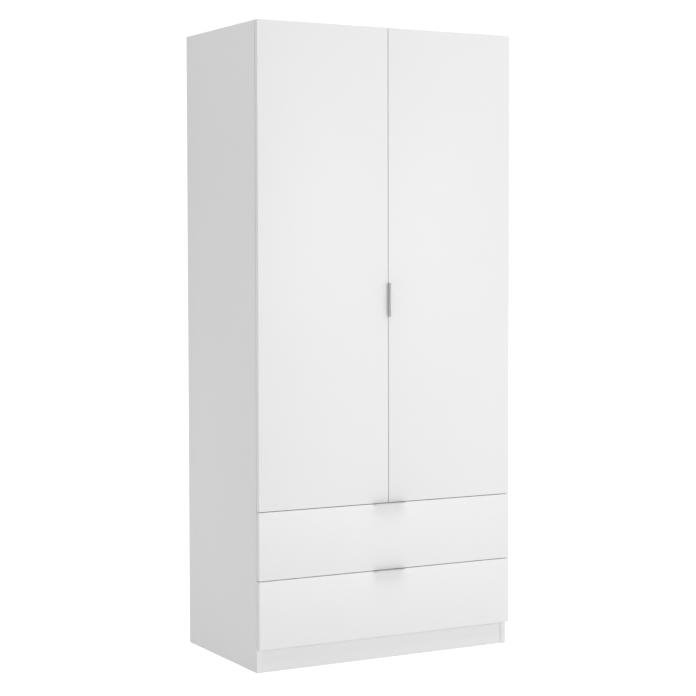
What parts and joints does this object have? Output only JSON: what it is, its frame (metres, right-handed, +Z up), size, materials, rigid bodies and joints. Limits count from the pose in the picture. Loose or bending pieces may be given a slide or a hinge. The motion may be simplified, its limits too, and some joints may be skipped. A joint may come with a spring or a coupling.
{
  "type": "wardrobe",
  "caption": "Tall white wardrobe with hinged doors over full-width drawers, flush slab fronts, thin metal edge-pull handles and a recessed plinth.",
  "frame": {"origin": "on the floor, under the middle of the bounding box", "axes": "+Z up; -Y is the way the doors face; +X is to the right of someone who faces the doors"},
  "size_m": [0.81, 0.516, 1.8],
  "materials": {
    "white_melamine": "fine matt white melamine on chipboard with matching edge band",
    "hardboard": "white lacquered hardboard sheet",
    "handle_metal": "satin anodised",
    "hinge_steel": "nickel plated",
    "runner_steel": "white epoxy coated",
    "roller_nylon": "smooth moulded nylon",
    "rail_chrome": "chrome plated",
    "white_plastic": "satin moulded"
  },
  "bodies": {
    "carcass": {"back_joining_strip": "white_plastic", "bottom_panel": "white_melamine", "hanging_rail": "rail_chrome", "hat_shelf": "white_melamine", "left_back_sheet": "hardboard", "left_door_lower_hinge_arm": "hinge_steel", "left_door_middle_hinge_arm": "hinge_steel", "left_door_upper_hinge_arm": "hinge_steel", "left_rail_socket": "white_plastic", "left_side_panel": "white_melamine", "lower_left_cabinet_runner": "runner_steel", "lower_right_cabinet_runner": "runner_steel", "middle_panel": "white_melamine", "plinth_board": "white_melamine", "rear_base_rail": "white_melamine", "right_back_sheet": "hardboard", "right_door_lower_hinge_arm": "hinge_steel", "right_door_middle_hinge_arm": "hinge_steel", "right_door_upper_hinge_arm": "hinge_steel", "right_rail_socket": "white_plastic", "right_side_panel": "white_melamine", "top_panel": "white_melamine", "upper_left_cabinet_runner": "runner_steel", "upper_right_cabinet_runner": "runner_steel"},
    "left_door": {"left_door_handle": "handle_metal", "left_door_lower_hinge_cup": "hinge_steel", "left_door_middle_hinge_cup": "hinge_steel", "left_door_panel": "white_melamine", "left_door_upper_hinge_cup": "hinge_steel"},
    "right_door": {"right_door_handle": "handle_metal", "right_door_lower_hinge_cup": "hinge_steel", "right_door_middle_hinge_cup": "hinge_steel", "right_door_panel": "white_melamine", "right_door_upper_hinge_cup": "hinge_steel"},
    "lower_drawer": {"lower_drawer_back": "white_melamine", "lower_drawer_bottom": "hardboard", "lower_drawer_front": "white_melamine", "lower_drawer_handle": "handle_metal", "lower_drawer_left_side": "white_melamine", "lower_drawer_right_side": "white_melamine", "lower_left_drawer_runner": "runner_steel", "lower_right_drawer_runner": "runner_steel"},
    "upper_drawer": {"upper_drawer_back": "white_melamine", "upper_drawer_bottom": "hardboard", "upper_drawer_front": "white_melamine", "upper_drawer_handle": "handle_metal", "upper_drawer_left_side": "white_melamine", "upper_drawer_right_side": "white_melamine", "upper_left_drawer_runner": "runner_steel", "upper_right_drawer_runner": "runner_steel"},
    "lower_left_front_roller": {"lower_left_front_roller": "roller_nylon"},
    "lower_left_rear_roller": {"lower_left_rear_roller": "roller_nylon"},
    "lower_right_front_roller": {"lower_right_front_roller": "roller_nylon"},
    "lower_right_rear_roller": {"lower_right_rear_roller": "roller_nylon"},
    "upper_left_front_roller": {"upper_left_front_roller": "roller_nylon"},
    "upper_left_rear_roller": {"upper_left_rear_roller": "roller_nylon"},
    "upper_right_front_roller": {"upper_right_front_roller": "roller_nylon"},
    "upper_right_rear_roller": {"upper_right_rear_roller": "roller_nylon"}
  },
  "joints": [
    {"name": "left_door_hinge", "type": "hinge", "parent": "carcass", "child": "left_door", "pos_m": [-0.399, -0.236, 1.125], "axis": [0, 0, -1], "range_deg": [0, 95]},
    {"name": "right_door_hinge", "type": "hinge", "parent": "carcass", "child": "right_door", "pos_m": [0.399, -0.236, 1.125], "axis": [0, 0, 1], "range_deg": [0, 95]},
    {"name": "lower_drawer_slide", "type": "slide", "parent": "carcass", "child": "lower_drawer", "axis": [0, -1, 0], "range_m": [0, 0.35]},
    {"name": "upper_drawer_slide", "type": "slide", "parent": "carcass", "child": "upper_drawer", "axis": [0, -1, 0], "range_m": [0, 0.35]},
    {"name": "lower_left_front_roller_spin", "type": "hinge", "parent": "carcass", "child": "lower_left_front_roller", "pos_m": [-0.3825, -0.2085, 0.10385], "axis": [1, 0, 0], "continuous": true},
    {"name": "lower_left_rear_roller_spin", "type": "hinge", "parent": "lower_drawer", "child": "lower_left_rear_roller", "pos_m": [-0.3825, 0.211, 0.10385], "axis": [1, 0, 0], "continuous": true},
    {"name": "lower_right_front_roller_spin", "type": "hinge", "parent": "carcass", "child": "lower_right_front_roller", "pos_m": [0.3825, -0.2085, 0.10385], "axis": [1, 0, 0], "continuous": true},
    {"name": "lower_right_rear_roller_spin", "type": "hinge", "parent": "lower_drawer", "child": "lower_right_rear_roller", "pos_m": [0.3825, 0.211, 0.10385], "axis": [1, 0, 0], "continuous": true},
    {"name": "upper_left_front_roller_spin", "type": "hinge", "parent": "carcass", "child": "upper_left_front_roller", "pos_m": [-0.3825, -0.2085, 0.29585], "axis": [1, 0, 0], "continuous": true},
    {"name": "upper_left_rear_roller_spin", "type": "hinge", "parent": "upper_drawer", "child": "upper_left_rear_roller", "pos_m": [-0.3825, 0.211, 0.29585], "axis": [1, 0, 0], "continuous": true},
    {"name": "upper_right_front_roller_spin", "type": "hinge", "parent": "carcass", "child": "upper_right_front_roller", "pos_m": [0.3825, -0.2085, 0.29585], "axis": [1, 0, 0], "continuous": true},
    {"name": "upper_right_rear_roller_spin", "type": "hinge", "parent": "upper_drawer", "child": "upper_right_rear_roller", "pos_m": [0.3825, 0.211, 0.29585], "axis": [1, 0, 0], "continuous": true}
  ],
  "couplings": [
    {"joint": "lower_left_front_roller_spin", "follows": "lower_drawer_slide", "rad_per_m": 119.05},
    {"joint": "lower_left_rear_roller_spin", "follows": "lower_drawer_slide", "rad_per_m": 119.05},
    {"joint": "lower_right_front_roller_spin", "follows": "lower_drawer_slide", "rad_per_m": 119.05},
    {"joint": "lower_right_rear_roller_spin", "follows": "lower_drawer_slide", "rad_per_m": 119.05},
    {"joint": "upper_left_front_roller_spin", "follows": "upper_drawer_slide", "rad_per_m": 119.05},
    {"joint": "upper_left_rear_roller_spin", "follows": "upper_drawer_slide", "rad_per_m": 119.05},
    {"joint": "upper_right_front_roller_spin", "follows": "upper_drawer_slide", "rad_per_m": 119.05},
    {"joint": "upper_right_rear_roller_spin", "follows": "upper_drawer_slide", "rad_per_m": 119.05}
  ]
}
